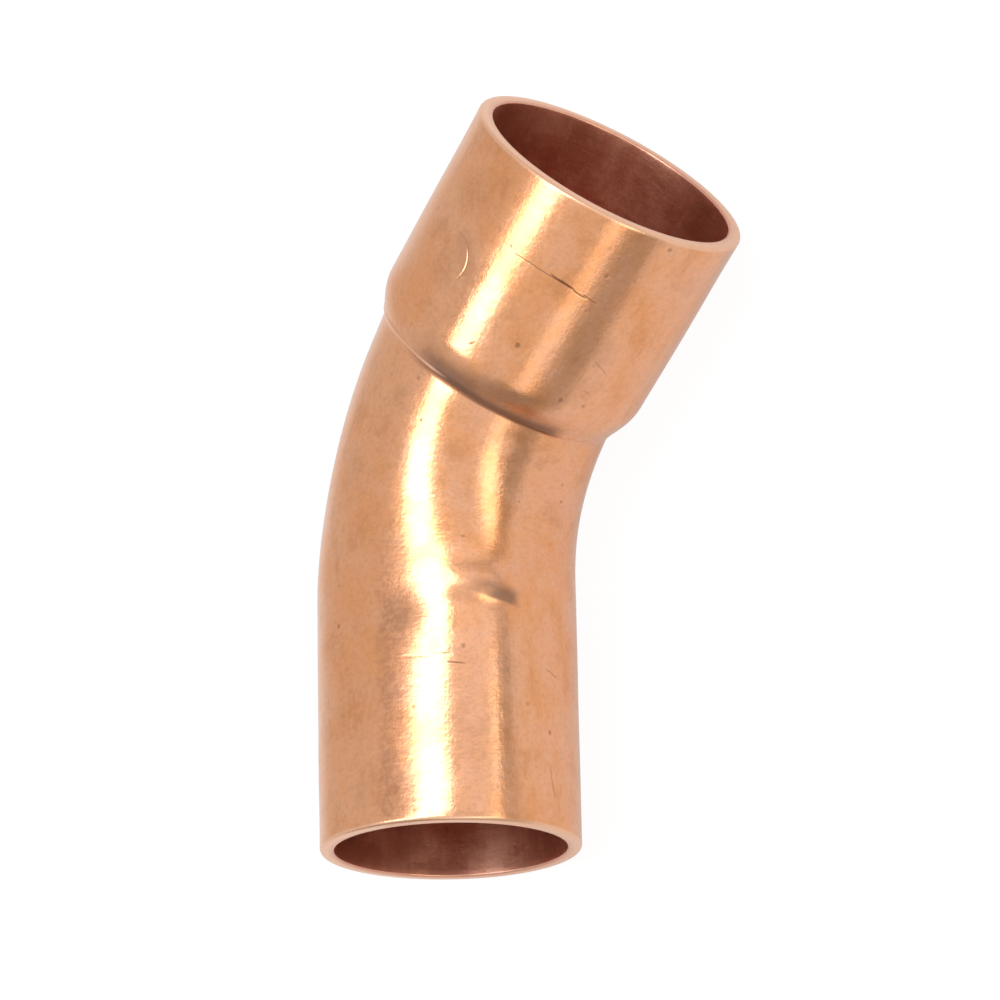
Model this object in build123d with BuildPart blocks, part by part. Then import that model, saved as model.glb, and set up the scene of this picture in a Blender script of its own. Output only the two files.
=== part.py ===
from build123d import *
from math import cos, radians, sin, sqrt, tan
import os

# A forty-five degree street elbow of wrought copper tube, for half inch nominal lines.
# One length of tube is bent, its plain end is sized to slip into a fitting, and its
# other end is blown out into a socket that takes a tube of the same size.
#
# Frame: millimetres. The elbow lies on its side, so the bend is in the XY plane.
# The origin is the centre of the plain end's opening. That end points along -Y,
# and the socket's mouth turns from +Y towards +X.

# Tube, and its fit in the socket
tube_od = 15.88
wall = 0.88
socket_clearance = 0.04

# Plain end, sized to the full diameter over its outer stretch
spigot_length = 15.5
sized_length = 12.3
sizing_taper = 0.7
sizing_draw = 0.10

# Bend, at its centre line. The tube flattens and necks a little as it is drawn round.
bend_radius = 21.0
bend_angle = 45
bend_flattening = 0.82
bend_narrowing = 0.20
neck_draw = 0.28

# Socket. The die that blows it out presses its shoulder over the last of the bend, and
# the wall is drawn thinner where it is stretched over that shoulder.
socket_depth = 12.7
shoulder_setback = 1.65
shoulder_angle = 38
shoulder_radius = 3.4
shoulder_wall = 0.72
crease_radius = 0.30

# Trimmed ends
rim_radius = 0.25
deburr_radius = 0.14

# Radii that follow
spigot_r = tube_od / 2
unsized_r = spigot_r - sizing_draw / 2
neck_r = spigot_r - neck_draw / 2
socket_bore_r = spigot_r + socket_clearance
socket_base_r = socket_bore_r + shoulder_wall
socket_mouth_r = socket_bore_r + wall
seat_radius = shoulder_radius - shoulder_wall

# Places along the socket's axis that follow, from the end of the bend. The socket's depth
# is measured to where a tube comes to rest, a little way down the rounded seat.
slope = radians(shoulder_angle)
shoulder_corner = (socket_base_r - neck_r) / tan(slope) - shoulder_setback
seat_corner = shoulder_corner + shoulder_wall * tan(slope / 2)
rounded_run = seat_radius * tan(slope / 2)
seat_run = sqrt(2 * seat_radius * socket_clearance - socket_clearance**2)
socket_mouth = seat_corner + rounded_run + socket_depth - seat_run


def bend_plane(turn):
    """The plane square to the bend's centre line after this many degrees, x outwards."""
    outwards = Vector(-cos(radians(turn)), sin(radians(turn)), 0)
    onwards = Vector(sin(radians(turn)), cos(radians(turn)), 0)
    bend_centre = Vector(bend_radius, spigot_length, 0)
    return Plane(origin=bend_centre + outwards * bend_radius, x_dir=outwards, z_dir=onwards)


bend_end = bend_plane(bend_angle)
socket_axis = Axis(bend_end.origin, bend_end.z_dir)


def plain_bar(inset):
    """The plain end as a solid bar, its skin this far inside the tube's outer skin."""
    with BuildPart() as bar:
        with BuildSketch(Plane.XY):
            with BuildLine():
                Polyline(
                    (0, 0),
                    (spigot_r - inset, 0),
                    (spigot_r - inset, sized_length),
                    (unsized_r - inset, sized_length + sizing_taper),
                    (unsized_r - inset, spigot_length),
                    (0, spigot_length),
                    close=True,
                )
            make_face()
        revolve(axis=Axis.Y)
    return bar.part


def bend_bar(inset):
    """The bend as a solid bar: round, then flattened half-way round, then necked."""
    with BuildPart() as bar:
        with BuildLine():
            centre_line = RadiusArc((0, spigot_length), bend_end.origin, bend_radius)
        with BuildSketch(bend_plane(0)):
            Circle(unsized_r - inset)
        with BuildSketch(bend_plane(bend_angle / 2)):
            Ellipse(spigot_r - bend_flattening / 2 - inset, spigot_r - bend_narrowing / 2 - inset)
        with BuildSketch(bend_end):
            Circle(neck_r - inset)
        sweep(path=centre_line, multisection=True)
    return bar.part


def socket_bar(base_r, mouth_r, corner, rounding):
    """The socket as a solid bar, with its shoulder's cone carried down to the axis."""
    with BuildPart() as bar:
        with BuildSketch(Plane(origin=bend_end.origin, x_dir=bend_end.x_dir, z_dir=(0, 0, -1))):
            with BuildLine():
                flank = FilletPolyline(
                    (0, corner - base_r / tan(slope)),
                    (base_r, corner),
                    (mouth_r, socket_mouth),
                    radius=rounding,
                )
                Polyline(flank @ 1, (0, socket_mouth), flank @ 0)
            make_face()
        revolve(axis=socket_axis)
    return bar.part


def formed_bar(inset, socket, crease):
    """Plain end, bend and socket as one bar, rounded in the crease behind the shoulder."""
    bend = bend_bar(inset)
    with BuildPart() as bar:
        add(bend)
        add(socket)
        fillet(new_edges(bend, socket, combined=bar.part), crease)
        add(plain_bar(inset))
    return bar.part


with BuildPart() as elbow:
    skin_socket = socket_bar(socket_base_r, socket_mouth_r, shoulder_corner, shoulder_radius)
    add(formed_bar(0, skin_socket, crease_radius))
    bore_socket = socket_bar(socket_bore_r, socket_bore_r, seat_corner, seat_radius)
    add(formed_bar(wall, bore_socket, crease_radius + wall), mode=Mode.SUBTRACT)

    # Both ends are trimmed square, then rounded outside and deburred inside
    cut_ends = faces().sort_by(Axis.Y)[0], faces().sort_by(socket_axis)[-1]
    rims = [end.edges().sort_by(SortBy.LENGTH) for end in cut_ends]
    fillet([rim[-1] for rim in rims], rim_radius)
    fillet([rim[0] for rim in rims], deburr_radius)

elbow.part.label = "elbow"

os.makedirs("parts", exist_ok=True)
export_step(elbow.part, "parts/elbow.step")
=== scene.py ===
import math

import bmesh
import bpy
from mathutils import Matrix, Vector


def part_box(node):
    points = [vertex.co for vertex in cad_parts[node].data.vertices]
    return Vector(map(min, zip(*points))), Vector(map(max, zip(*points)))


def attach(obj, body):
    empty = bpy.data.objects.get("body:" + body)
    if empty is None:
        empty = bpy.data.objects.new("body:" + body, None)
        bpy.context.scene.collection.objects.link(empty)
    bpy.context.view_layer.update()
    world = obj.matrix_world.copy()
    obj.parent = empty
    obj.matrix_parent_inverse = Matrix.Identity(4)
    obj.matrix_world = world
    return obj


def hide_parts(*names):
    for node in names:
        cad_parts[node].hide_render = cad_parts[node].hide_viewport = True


# The dressed forty-five degree copper elbow. Lengths are in millimetres here and are
# turned into metres where they reach Blender. The elbow is first turned as a straight
# fitting along +Y, then bent, as the real one is, so every point of its skin keeps the
# place that it had on the straight tube, and the finish is laid out on that.

MM = 0.001

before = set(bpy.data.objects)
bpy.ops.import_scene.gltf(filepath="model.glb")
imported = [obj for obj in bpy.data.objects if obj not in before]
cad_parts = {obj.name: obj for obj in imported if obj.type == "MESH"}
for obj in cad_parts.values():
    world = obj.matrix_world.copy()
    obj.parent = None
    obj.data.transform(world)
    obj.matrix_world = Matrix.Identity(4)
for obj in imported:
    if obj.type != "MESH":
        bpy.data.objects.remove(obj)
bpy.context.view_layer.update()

# Sizes of the frame's elbow
TUBE_R = 7.94
WALL = 0.88
SPIGOT_LENGTH = 15.5
SIZED_LENGTH = 12.3
SIZING_TAPER = 0.7
TAPER_SPREAD = 0.9
UNSIZED_R = 7.89
BEND_RADIUS = 21.0
BEND_ANGLE = math.radians(45)
BEND_SQUEEZE = 0.315
NECK_R = 7.80
BORE_R = 7.98
SHOULDER_SETBACK = 1.65
SHOULDER_ANGLE = math.radians(38)
SHOULDER_RADIUS = 3.4
SHOULDER_WALL = 0.72
CREASE_RADIUS = 0.30
SOCKET_BASE_R = BORE_R + SHOULDER_WALL
SOCKET_MOUTH_R = BORE_R + WALL
MOUTH_REACH = 12.911
RIM_RADIUS = 0.25
DEBURR_RADIUS = 0.14

# Places along the straightened tube
BEND_START = SPIGOT_LENGTH
BEND_END = BEND_START + BEND_RADIUS * BEND_ANGLE
CREASE = BEND_END - SHOULDER_SETBACK
CORNER = CREASE + (SOCKET_BASE_R - NECK_R) / math.tan(SHOULDER_ANGLE)
SEAT_CORNER = CORNER + SHOULDER_WALL * math.tan(SHOULDER_ANGLE / 2)
SEAT_FOOT = SEAT_CORNER - (BORE_R - NECK_R + WALL) / math.tan(SHOULDER_ANGLE)
MOUTH = BEND_END + MOUTH_REACH

# The mouth of this one is cut a little out of square, shorter at the bend's outer side
MOUTH_SLANT = math.radians(1.1)
MOUTH_TRIM = 0.2

AROUND = 192
STEP = 0.36
FINE_STEP = 0.10


# The straight fitting

def add_line(bm, points):
    """A chain of edges through points given as (radius, place along the tube)."""
    verts = [bm.verts.new((r, s, 0)) for r, s in points]
    for pair in zip(verts, verts[1:]):
        bm.edges.new(pair)
    return verts


def round_corner(bm, vert, radius):
    """Rounds one corner of the wall's section to a radius."""
    a, b = (edge.other_vert(vert).co - vert.co for edge in vert.link_edges)
    reach = radius * math.tan((math.pi - a.angle(b)) / 2)
    bmesh.ops.bevel(bm, geom=[vert], offset=reach, offset_type="OFFSET", affect="VERTICES",
                    segments=8, profile=0.5, material=-1)


def wall_section():
    """The wall's section: outer skin from plain end to mouth, then the bore back."""
    bm = bmesh.new()
    skin = add_line(bm, [
        (TUBE_R, 0),
        (TUBE_R, SIZED_LENGTH - TAPER_SPREAD),
        (UNSIZED_R, SIZED_LENGTH + SIZING_TAPER + TAPER_SPREAD),
        (UNSIZED_R, BEND_START),
        (NECK_R, CREASE),
        (SOCKET_BASE_R, CORNER),
        (SOCKET_MOUTH_R, MOUTH),
    ])
    bore = add_line(bm, [
        (TUBE_R - WALL, 0),
        (TUBE_R - WALL, SIZED_LENGTH),
        (UNSIZED_R - WALL, SIZED_LENGTH + SIZING_TAPER),
        (UNSIZED_R - WALL, BEND_START),
        (NECK_R - WALL, SEAT_FOOT),
        (BORE_R, SEAT_CORNER),
        (BORE_R, MOUTH),
    ])
    bm.edges.new((skin[0], bore[0]))
    bm.edges.new((skin[-1], bore[-1]))
    corners = [
        (skin[0], RIM_RADIUS), (skin[-1], RIM_RADIUS),
        (skin[1], 80.0), (skin[2], 80.0),
        (bore[0], DEBURR_RADIUS), (bore[-1], DEBURR_RADIUS),
        (skin[4], CREASE_RADIUS), (skin[5], SHOULDER_RADIUS),
        (bore[4], CREASE_RADIUS + WALL), (bore[5], SHOULDER_RADIUS - SHOULDER_WALL),
    ]
    for vert, radius in corners:
        round_corner(bm, vert, radius)
    for edge in list(bm.edges):
        middle = (edge.verts[0].co + edge.verts[1].co) / 2
        near_crease = middle.x > NECK_R - 0.2 and -1.2 < middle.y - CREASE < 1.2
        cuts = math.ceil(edge.calc_length() / (FINE_STEP if near_crease else STEP)) - 1
        if cuts > 0:
            bmesh.ops.subdivide_edges(bm, edges=[edge], cuts=cuts)
    return bm


def straight_fitting():
    bm = wall_section()
    bmesh.ops.spin(bm, geom=bm.verts[:] + bm.edges[:], cent=(0, 0, 0), axis=(0, 1, 0),
                   angle=2 * math.pi, steps=AROUND, use_merge=True)
    bmesh.ops.remove_doubles(bm, verts=bm.verts[:], dist=1e-4)
    bmesh.ops.recalc_face_normals(bm, faces=bm.faces[:])
    return bm


# The bend

def between(low, high, value):
    return min(max((value - low) / (high - low), 0.0), 1.0)


def ease(value):
    return value * value * (3 - 2 * value)


def hump(value, reach):
    """1 where the value is 0, falling smoothly away on both sides."""
    return math.exp(-(value / reach) ** 2)


def relief(x, s, z):
    """How far forming left the skin standing off its plain section at a point."""
    side = math.degrees(math.atan2(z, x))
    lift = 0.014 * math.sin(0.55 * s + 2 * math.radians(side) + 1.0) - 0.014
    lift += 0.010 * math.sin(0.31 * s - 3 * math.radians(side)) - 0.010
    lift = lift * between(0, 3, s) * between(MOUTH, MOUTH - 3, s) - 0.004

    # The crease runs out into a soft hollow round the throat
    softness = 0.6 * (1 - ease(between(34, 56, abs(side + 31))))
    if softness > 0:
        rise = math.tan(SHOULDER_ANGLE) * abs(s - CREASE) / softness
        lift += softness / 4 * max(1 - rise, 0) ** 2

    # Round the outer side the shoulder's foot stands up as a lip over the crease
    lip = ease(between(60, 80, abs(side)))
    lift += 0.12 * lip * hump(s - CREASE - 0.16, 0.20)
    lift -= 0.05 * (1 - softness / 0.6) * (1 - lip) * hump(s - CREASE + 0.25, 0.26)

    # A wrinkle where the throat was squeezed against the mandrel
    lift += 0.23 * hump(side - 24, 20) * hump(s - 14.7, 1.3 if s > 14.7 else 0.9)
    lift -= 0.13 * hump(side - 69, 18) * hump(s - 13.9, 1.4)
    lift -= 0.05 * hump(side - 20, 13) * hump(s - 13.6, 0.40)
    return lift


def in_socket(x, s, z):
    """A point of the socket, on its own straight axis."""
    outwards = Vector((-math.cos(BEND_ANGLE), math.sin(BEND_ANGLE), 0))
    onwards = Vector((math.sin(BEND_ANGLE), math.cos(BEND_ANGLE), 0))
    end = Vector((BEND_RADIUS, BEND_START, 0)) + outwards * BEND_RADIUS
    slant = math.tan(MOUTH_SLANT) * (x - z) - MOUTH_TRIM
    s += slant * between(CORNER, MOUTH, s)
    return end - outwards * x + onwards * (s - BEND_END) + Vector((0, 0, z))


def in_bend(x, s, z):
    """A point of the plain end or the bend, which is squeezed flatter half-way round."""
    reach = BEND_ANGLE - math.atan(SHOULDER_SETBACK / (BEND_RADIUS - x))
    turn = reach * between(BEND_START, CREASE, s)
    done = turn / BEND_ANGLE
    x *= 1 - (4 * done * (1 - done)) ** 1.5 * BEND_SQUEEZE / math.hypot(x, z)
    outwards = Vector((-math.cos(turn), math.sin(turn), 0))
    place = Vector((BEND_RADIUS, BEND_START, 0)) + outwards * (BEND_RADIUS - x)
    return place + Vector((0, min(s - BEND_START, 0), z))


def bent(point):
    """Where a point of the straight fitting goes when the tube is bent."""
    x, s, z = point
    if s >= CREASE:
        return in_socket(x, s, z)
    miss = in_socket(x, CREASE, z) - in_bend(x, CREASE - 1e-6, z)
    return in_bend(x, s, z) + miss * ease(between(CREASE - 1.5, CREASE, s))


def mid_wall(s):
    """The radius half-way through the wall, which parts the skin from the bore."""
    return 7.42 + 0.95 * between(CREASE - 0.5, CORNER, s)


def make_elbow():
    bm = straight_fitting()
    straight = bm.verts.layers.float_vector.new("straight")
    for vert in bm.verts:
        vert[straight] = vert.co.copy()
    for vert in bm.verts:
        x, s, z = vert.co
        r = math.hypot(x, z)
        if r > mid_wall(s):
            grown = 1 + relief(x, s, z) / r
            vert.co = (x * grown, s, z * grown)
        vert.co = bent(vert.co) * MM
    mesh = bpy.data.meshes.new("copper_elbow")
    bm.to_mesh(mesh)
    bm.free()
    mesh.shade_smooth()
    elbow = bpy.data.objects.new("copper_elbow", mesh)
    bpy.context.scene.collection.objects.link(elbow)
    return elbow


# Materials

class Wire:
    """A shader socket or a number that Python's operators can work on."""

    def __init__(self, tree, socket):
        self.tree = tree
        self.socket = socket

    def math(self, operation, *others):
        node = self.tree.nodes.new("ShaderNodeMath")
        node.operation = operation
        for slot, value in zip(node.inputs, (self, *others)):
            plug(self.tree, value, slot)
        return Wire(self.tree, node.outputs[0])

    def __add__(self, other):
        return self.math("ADD", other)

    __radd__ = __add__

    def __mul__(self, other):
        return self.math("MULTIPLY", other)

    __rmul__ = __mul__

    def __sub__(self, other):
        return self.math("SUBTRACT", other)

    def __rsub__(self, other):
        return (self * -1) + other

    def __truediv__(self, other):
        return self.math("DIVIDE", other)

    def __pow__(self, other):
        return self.math("POWER", other)


def plug(tree, value, slot):
    if isinstance(value, Wire):
        tree.links.new(value.socket, slot)
    else:
        slot.default_value = value


class Shader:
    """A node tree, with a method that adds any node and gives one output back."""

    def __init__(self, owner):
        owner.use_nodes = True
        self.tree = owner.node_tree
        self.tree.nodes.clear()

    def node(self, kind, settings=None, output=0, **values):
        node = self.tree.nodes.new("ShaderNode" + kind)
        for key, setting in (settings or {}).items():
            setattr(node, key, setting)
        for key, value in values.items():
            slot = next(i for i in node.inputs if key in (i.identifier, i.name.replace(" ", "_")))
            plug(self.tree, value, slot)
        return Wire(self.tree, node.outputs[output]) if node.outputs else None

    def rise(self, value, low, high):
        """0 up to low and 1 past high, with a smooth rise between them."""
        return self.node("MapRange", {"interpolation_type": "SMOOTHSTEP"},
                         Value=value, From_Min=low, From_Max=high)

    def noise(self, place, scale, detail=2.0, roughness=0.5):
        return self.node("TexNoise", Vector=place, Scale=scale, Detail=detail,
                         Roughness=roughness)

    def stretched(self, place, *factors):
        return self.node("VectorMath", {"operation": "MULTIPLY"}, Vector=place,
                         Vector_001=factors)

    def blend(self, factor, low, high):
        """A colour between two others."""
        return self.node("Mix", {"data_type": "RGBA"}, 2, Factor_Float=factor,
                         A_Color=low, B_Color=high)


def scratch(sh, around, along, start, end, width):
    """1 along a straight scratch on the unrolled skin, 0 off it."""
    run = Vector(end) - Vector(start)
    length = run.length
    run.normalize()
    du, dv = around - start[0], along - start[1]
    travelled = du * run.x + dv * run.y
    off = (du * -run.y + dv * run.x).math("ABSOLUTE")
    inside = sh.rise(travelled, 0, 0.4) * sh.rise(travelled, length, length - 0.4)
    return sh.rise(off, width, width * 0.3) * inside


def spot(sh, around, along, centre, edge, core):
    """1 within core of a point of the unrolled skin, falling to 0 at edge."""
    du, dv = around - centre[0], along - centre[1]
    return sh.rise((du * du + dv * dv).math("SQRT"), edge, core)


def ring(sh, along, place, width):
    """1 on a line round the tube, 0 off it."""
    return sh.rise((along - place).math("ABSOLUTE"), width, width * 0.2)


BARE = (0.86, 0.43, 0.232, 1)
WARM = (0.85, 0.385, 0.175, 1)
PINK = (0.87, 0.455, 0.28, 1)
STAIN = (0.68, 0.29, 0.125, 1)
# Brown for real tarnish, also used for the painted dark reflection band
TARNISH_AND_DARK_REFLECTION = (0.50, 0.235, 0.135, 1)
# Dark brown for dirt in scratches and pits, and for the crease line, which is partly painted shade
DIRT_AND_CREASE_SHADE = (0.20, 0.085, 0.05, 1)
# Dark brown for painted shade at the crease and under the wrinkle, and for dirt with painted shade
# on the shoulder
DIRT_AND_SHADE_BROWN = (0.15, 0.073, 0.045, 1)
# Lighter copper for the cut ends' faces, and for the painted highlight on the lip
CUT_FACE_AND_HIGHLIGHT = (0.93, 0.57, 0.39, 1)
BORE = (0.74, 0.36, 0.25, 1)
BORE_WORN = (0.82, 0.45, 0.32, 1)


def copper_finish():
    material = bpy.data.materials.new("copper")
    sh = Shader(material)
    place = sh.node("Attribute", {"attribute_name": "straight"}, 1)
    x, s, z = (sh.node("SeparateXYZ", output=i, Vector=place) for i in range(3))
    radius = (x * x + z * z).math("SQRT")
    side = z.math("ARCTAN2", x)
    around = side * SOCKET_MOUTH_R
    degrees = side * math.degrees(1)

    # Texture that the drawing and the sizing left, and patches of tarnish
    clouds = sh.noise(place, 0.22, 4.0, 0.6)
    patches = sh.noise(sh.stretched(place, 1.0, 0.6, 1.0), 0.5, 4.0, 0.65)
    peel = sh.noise(place, 1.5, 3.0, 0.6)
    mottle = sh.noise(place, 2.4, 3.0, 0.65)
    speckle = sh.noise(place, 4.0, 2.0, 0.6)
    grain = sh.noise(sh.stretched(place, 0.25, 5.0, 0.25), 1.0, 3.0, 0.6)
    drawn = sh.noise(sh.stretched(place, 4.0, 0.2, 4.0), 1.0, 2.0, 0.5)
    wander = (peel - 0.5) * 0.25

    # Where things are
    bore = sh.rise(radius - sh.node("MapRange", Value=s, From_Min=CREASE - 0.5, From_Max=CORNER,
                                    To_Min=7.42, To_Max=8.37), 0.05, -0.05)
    skin = 1 - bore
    edge = TUBE_R - WALL + (BORE_R - TUBE_R + WALL) * s.math("GREATER_THAN", BEND_END)
    rim = ((sh.rise(s, 0.30, 0.12) + sh.rise(s, MOUTH - 0.30, MOUTH - 0.12))
           * sh.rise(radius - edge, 0.08, 0.20))
    outer_side = sh.rise(degrees, 0.0, 12.0) * sh.rise(degrees, 92.0, 62.0)
    # Painted highlight: the lip over the crease on the outer side is made lighter, as its edge
    # catches the light
    lip = ring(sh, s, CREASE + 0.14, 0.17) * sh.rise(degrees, 60.0, 72.0) * skin
    # Partly dirt and partly painted shade: a dark line just under the crease on the outer side
    crease = ring(sh, s + wander * 0.3, CREASE - 0.12, 0.30) * outer_side * skin
    # Partly dirt and partly painted shade: the shoulder darkened from the crease up over its
    # rounding, most on the outer side, in place of shade and the dark surroundings it reflects
    shoulder_dirt_and_shade = (sh.rise(s, CREASE - 0.1, CREASE + 0.1) * sh.rise(s, CORNER + 0.8, CORNER - 0.5)
                     * (sh.rise(degrees + wander * 30, 2.0, 18.0) * 0.25
                        + sh.rise(degrees + wander * 30, 38.0, 54.0) * 0.65)
                     * sh.rise(degrees + wander * 30, 86.0, 68.0)) * skin
    # Painted shade: the shoulder's foot darkened just above the crease, where the tube's bright
    # reflection would show
    crease_painted_shade = (sh.rise(s, CREASE - 0.05, CREASE + 0.02)
                   * sh.rise(s + wander, CREASE + 1.0, CREASE + 0.15)
                   * sh.rise(degrees, 0.0, 10.0) * sh.rise(degrees, 84.0, 60.0)) * skin
    # Painted shade: a dark patch with a slanting lower edge under the throat's wrinkle, standing in
    # for the dark its underside reflects
    wrinkle_painted_shade = (sh.rise(s - degrees * 0.035 + wander, 12.9, 13.1)
            * sh.rise(s - degrees * 0.035 + wander, 14.3, 13.6)
            * sh.rise(degrees + wander * 20, 8.0, 14.0)
            * sh.rise(degrees + wander * 20, 38.0, 22.0)) * skin
    # Painted reflection: a mottled darker band on the plain end and the bend beside the key
    # highlight, standing in for a dark part of the surroundings
    reflected_dark_band = (sh.rise(degrees + wander * 20, 57.0, 62.0) * sh.rise(degrees + wander * 20, 78.0, 72.0)
             * sh.rise(s, 20.0, 14.0) * (sh.rise(mottle, 0.35, 0.6) * 0.7 + 0.3))

    # Marks: a long scratch round the socket, a nail mark, pits and nicks
    u, v = around + wander, s + wander * 0.5
    deg = math.radians(1) * SOCKET_MOUTH_R
    long_scratch = scratch(sh, u, v, (62 * deg, 39.87), (34 * deg, 39.72), 0.07) * 0.6
    long_scratch = long_scratch + scratch(sh, u, v, (46 * deg, 39.90), (33 * deg, 39.66), 0.10)
    long_scratch = long_scratch + scratch(sh, u, v, (35 * deg, 39.62), (27 * deg, 39.44), 0.09)
    long_scratch = long_scratch + scratch(sh, u, v, (30 * deg, 39.66), (22 * deg, 39.40), 0.07) * 0.7
    far = ((around - 13.6) * (around - 13.6) + (s - 37.0) * (s - 37.0)).math("SQRT")
    nail = (sh.rise((far - 1.72).math("ABSOLUTE"), 0.12, 0.02)
            * sh.rise(around, 14.1, 13.2) * sh.rise(s, 36.1, 36.5))
    smudge = (spot(sh, u, v, (93 * deg, 41.2), 2.2, 0.4) + spot(sh, u, v, (87 * deg, 36.2), 1.8, 0.3)
              + spot(sh, u, v, (96 * deg, 22.0), 2.0, 0.3) * 0.7)
    blot = (spot(sh, u, v, (90 * deg, 7.2), 2.6, 0.3) + spot(sh, u, v, (104 * deg, 12.0), 1.8, 0.2)
            + spot(sh, u, v, (80 * deg, 3.0), 1.6, 0.2))
    ticks = scratch(sh, u, v, (60 * deg, 33.3), (57 * deg, 33.8), 0.07)
    ticks = ticks + scratch(sh, u, v, (88 * deg, 31.7), (87 * deg, 32.2), 0.09)
    ticks = ticks + scratch(sh, u, v, (12.3 * deg, 36.1), (1.5 * deg, 35.3), 0.06) * 0.6
    ticks = ticks + scratch(sh, u, v, (9 * deg, 34.0), (4 * deg, 33.8), 0.06) * 0.6
    ticks = ticks + scratch(sh, u, v, (44 * deg, 9.75), (35 * deg, 9.65), 0.06)
    ticks = ticks + scratch(sh, u, v, (-4 * deg, 9.9), (-14 * deg, 9.4), 0.10) * 0.6
    ticks = ticks + scratch(sh, u, v, (-6 * deg, 4.0), (-9 * deg, 1.7), 0.12) * 0.5
    pit = spot(sh, u, v, (42.3 * deg, 34.9), 0.24, 0.08)
    pocks = (sh.rise(sh.node("TexVoronoi", Vector=place, Scale=0.42), 0.10, 0.02)
             * sh.rise(patches, 0.42, 0.55))
    sizing_ring = (ring(sh, v, 10.2, 0.16) * sh.rise(degrees, 40.0, 46.0)
                   * sh.rise(degrees, 68.0, 60.0))
    marks = (long_scratch + nail + ticks + pit) * skin

    # Colour
    colour = sh.blend(sh.rise(clouds, 0.40, 0.62), BARE, WARM)
    colour = sh.blend(sh.rise(patches, 0.42, 0.66) * sh.rise(degrees, 120.0, 20.0) * 0.8, colour,
                      PINK)
    colour = sh.blend(sh.rise(patches, 0.47, 0.30) * 0.55, colour, STAIN)
    colour = sh.blend(sh.rise(clouds, 0.44, 0.28) * 0.3, colour, TARNISH_AND_DARK_REFLECTION)
    colour = sh.blend(blot * sh.rise(mottle, 0.3, 0.6) * 0.45, colour, STAIN)
    colour = sh.blend(smudge * sh.rise(mottle, 0.2, 0.6) * 0.30, colour, TARNISH_AND_DARK_REFLECTION)
    colour = sh.blend(sh.rise(mottle, 0.46, 0.72) * 0.18, colour, TARNISH_AND_DARK_REFLECTION)
    colour = sh.blend(sh.rise(speckle, 0.45, 0.70) * 0.16, colour, TARNISH_AND_DARK_REFLECTION)
    # Painted dark reflection beside the key highlight
    colour = sh.blend(reflected_dark_band * 0.7, colour, TARNISH_AND_DARK_REFLECTION)
    # Painted shade with dirt on the shoulder
    colour = sh.blend(shoulder_dirt_and_shade * 0.85, colour, DIRT_AND_SHADE_BROWN)
    # Painted shade at the crease and under the wrinkle
    colour = sh.blend((crease_painted_shade * 0.9 + wrinkle_painted_shade * 0.8).math("MINIMUM", 1), colour, DIRT_AND_SHADE_BROWN)
    # Painted highlight on the lip
    colour = sh.blend(lip * 0.8, colour, CUT_FACE_AND_HIGHLIGHT)
    # Scratches and pits are darkened as dirt, and the crease line as dirt with painted shade
    dirt_and_crease_shade = crease * 0.8 + (marks - nail * 0.7) * 0.55 + pocks * skin * 0.5
    colour = sh.blend(dirt_and_crease_shade.math("MINIMUM", 0.85), colour, DIRT_AND_CREASE_SHADE)
    inside = sh.blend(sh.rise(clouds * 0.7 + patches * 0.6 + drawn * 0.3, 0.72, 0.98), BORE,
                      BORE_WORN)
    colour = sh.blend(bore, colour, inside)
    colour = sh.blend(rim.math("MINIMUM", 1) * 0.7, colour, CUT_FACE_AND_HIGHLIGHT)

    # Gloss
    rough = 0.20 + (clouds - 0.5) * 0.16 + (patches - 0.5) * 0.20 + (grain - 0.5) * 0.10
    rough = rough + bore * 0.14 + (crease + crease_painted_shade) * 0.2 + shoulder_dirt_and_shade * 0.12
    rough = rough + rim * 0.08 + reflected_dark_band * 0.05
    rough = rough.math("MAXIMUM", 0.10)

    # Height in millimetres
    height = peel * 0.010 + mottle * 0.007 + speckle * 0.0045 + grain * 0.0035 + drawn * 0.003
    height = height - marks * 0.022 - pocks * 0.01 - sizing_ring * 0.006
    normal = sh.node("Bump", Strength=1.0, Distance=MM, Height=height)

    # Painted shade: where the shoulder, the crease and the wrinkle are painted dark, the metal is
    # turned down too, so they reflect less
    metal = 1 - (shoulder_dirt_and_shade * 0.5 + crease_painted_shade * 0.9 + wrinkle_painted_shade * 0.75).math("MINIMUM", 0.9)
    surface = sh.node("BsdfPrincipled", Base_Color=colour, Metallic=metal, Roughness=rough,
                      Normal=normal)
    sh.node("OutputMaterial", Surface=surface)
    return material


# Stage, lights and camera, in the frame's metres

AIM = Vector((5.43, 20.71, 0.54)) * MM
VIEW_DISTANCE = 599.0 * MM
VIEW_AZIMUTH = math.radians(-20.85)
VIEW_ELEVATION = math.radians(41.94)
VIEW_ROLL = math.radians(76.84)
FOCAL_MM = 356.1


def view_axes():
    """The camera's right, up and backward directions."""
    back = Vector((math.cos(VIEW_AZIMUTH) * math.cos(VIEW_ELEVATION),
                   math.sin(VIEW_AZIMUTH) * math.cos(VIEW_ELEVATION),
                   math.sin(VIEW_ELEVATION)))
    level = Vector((0, 0, 1)).cross(back).normalized()
    lift = back.cross(level)
    right = level * math.cos(VIEW_ROLL) - lift * math.sin(VIEW_ROLL)
    return right, back.cross(right), back


def make_camera():
    right, up, back = view_axes()
    data = bpy.data.cameras.new("camera")
    data.lens = FOCAL_MM
    data.sensor_width = 36
    data.clip_start = 0.01
    camera = bpy.data.objects.new("camera", data)
    turn = Matrix((right, up, back)).transposed().to_4x4()
    camera.matrix_world = Matrix.Translation(AIM + back * VIEW_DISTANCE) @ turn
    bpy.context.scene.collection.objects.link(camera)
    bpy.context.scene.camera = camera


def seen_at(azimuth, elevation):
    """A direction given by its angles right of and above the camera's line of sight."""
    right, up, back = view_axes()
    a, e = math.radians(azimuth), math.radians(elevation)
    return (right * math.sin(a) + back * math.cos(a)) * math.cos(e) + up * math.sin(e)


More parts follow.
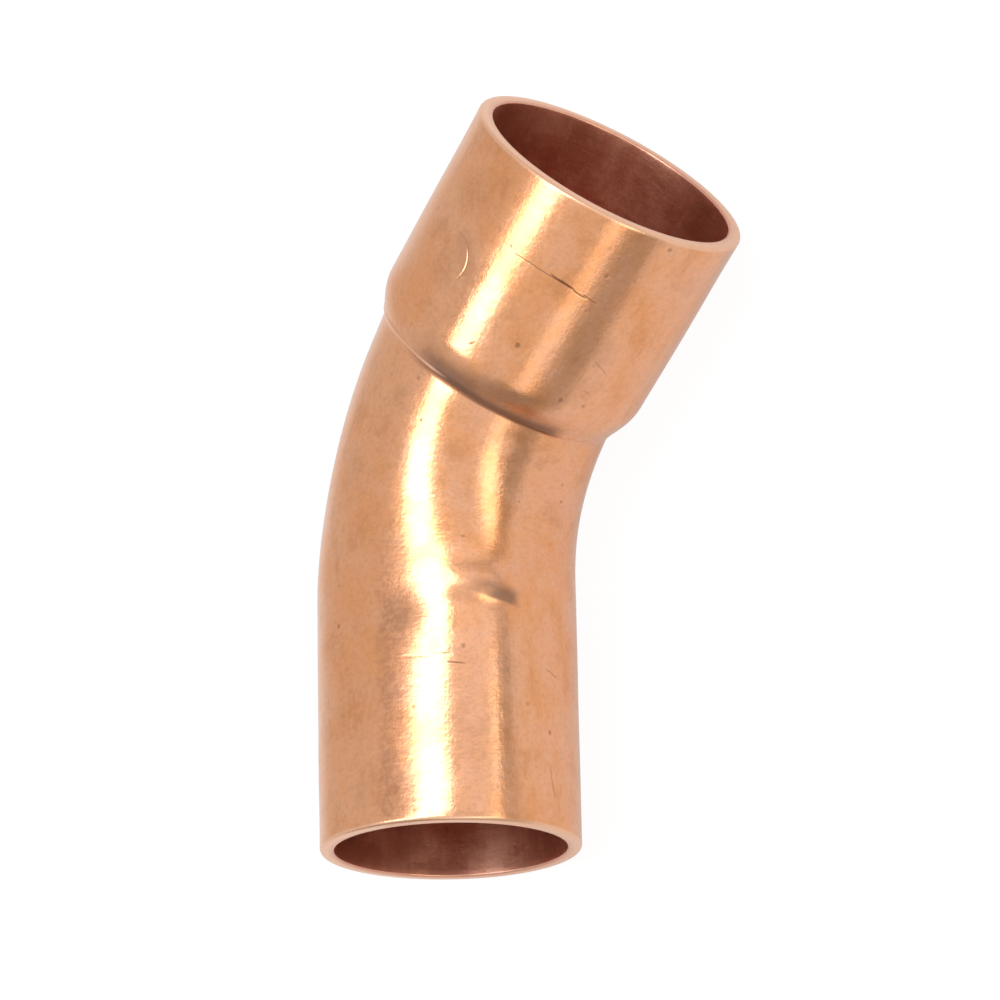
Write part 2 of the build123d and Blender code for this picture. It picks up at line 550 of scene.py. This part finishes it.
def make_panel(name, start, end, width, brightness, colour=(1, 1, 1), distance=0.35):
    """A soft light as a strip that spans two directions round the elbow."""
    a, b = seen_at(*start), seen_at(*end)
    middle = (a + b).normalized()
    data = bpy.data.lights.new(name, "AREA")
    data.shape = "RECTANGLE"
    data.size = (b - a).length * distance
    data.size_y = 2 * math.tan(math.radians(width) / 2) * distance
    data.energy = brightness * math.pi * data.size * data.size_y
    data.color = colour
    panel = bpy.data.objects.new(name, data)
    along = (b - a).normalized()
    across = middle.cross(along).normalized()
    turn = Matrix((along, across, along.cross(across))).transposed().to_4x4()
    if (turn @ Vector((0, 0, 1))).dot(middle) < 0:
        turn = turn @ Matrix.Rotation(math.pi, 4, "X")
    panel.matrix_world = Matrix.Translation(AIM + middle * distance) @ turn
    bpy.context.scene.collection.objects.link(panel)
    return panel


def make_stage():
    data = bpy.data.meshes.new("floor")
    bm = bmesh.new()
    bmesh.ops.create_grid(bm, x_segments=1, y_segments=1, size=3.0)
    bmesh.ops.translate(bm, verts=bm.verts[:], vec=(0, 0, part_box("elbow")[0].z))
    bm.to_mesh(data)
    bm.free()
    floor = bpy.data.objects.new("floor", data)
    bpy.context.scene.collection.objects.link(floor)
    floor.data.materials.append(floor_finish())

    world = bpy.data.worlds.new("studio")
    bpy.context.scene.world = world
    light_tent(world)

    make_panel("key_light", (-58, -18), (6, 42), 19, 4.2)
    make_panel("second_light", (16, -24), (51, 23), 14, 1.7, (1.0, 0.93, 0.70))
    make_panel("second_light_foot", (-9, -54), (21, -21), 13, 0.75, (1.0, 0.96, 0.85))
    make_panel("fill_light", (4, 34), (58, 26), 18, 0.25)


def floor_finish():
    """White paper. Away from the elbow on one side it is painted darker for reflections only, as
    painted shade in the copper, and to reflections it partly glows, as a painted glow.
    """
    material = bpy.data.materials.new("floor")
    sh = Shader(material)
    place = sh.node("TexCoord", output=3)
    out = sh.node("VectorMath", {"operation": "DOT_PRODUCT"}, 1, Vector=place,
                  Vector_001=(0.72, -0.69, 0))
    glossy = sh.node("LightPath", output=3)
    # Painted shade: the paper is darker away from the elbow on one side, seen only in reflections
    shade = sh.rise(out, 0.014, 0.034) * glossy
    paper = sh.blend(shade, (0.82, 0.82, 0.82, 1), (0.46, 0.45, 0.44, 1))
    surface = sh.node("BsdfDiffuse", Color=paper)
    # Painted glow: to reflections the paper partly shines by itself
    reflected_glow = sh.node("Emission", Color=paper)
    surface = sh.node("MixShader", Fac=glossy * 0.6, Shader=surface, Shader_001=reflected_glow)
    backdrop = sh.node("Emission", Color=(1, 1, 1, 1), Strength=1.03)
    seen = sh.node("LightPath", output=0) * 0.93
    surface = sh.node("MixShader", Fac=seen, Shader=surface, Shader_001=backdrop)
    sh.node("OutputMaterial", Surface=surface)
    return material


def light_tent(world):
    """Even white all round, with the open front in shade towards the picture's foot."""
    sh = Shader(world)
    foot = -view_axes()[1]
    facing = sh.node("VectorMath", {"operation": "DOT_PRODUCT"}, 1,
                     Vector=sh.node("TexCoord", output=0), Vector_001=tuple(foot))
    shade = sh.rise(facing, 0.55, 0.88)
    front = sh.node("VectorMath", {"operation": "DOT_PRODUCT"}, 1,
                    Vector=sh.node("TexCoord", output=0), Vector_001=tuple(view_axes()[2]))
    camera = sh.node("LightPath", output=0)
    strength = (0.75 + sh.rise(front, 0.4, 1.0) * 0.16 - shade * 0.40) * (1 - camera) + camera
    sh.node("OutputWorld", Surface=sh.node("Background", Color=(1, 1, 1, 1), Strength=strength))


elbow = make_elbow()
elbow.data.materials.append(copper_finish())
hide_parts("elbow")
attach(elbow, "root")

make_stage()
make_camera()
bpy.context.scene.view_settings.view_transform = "Standard"
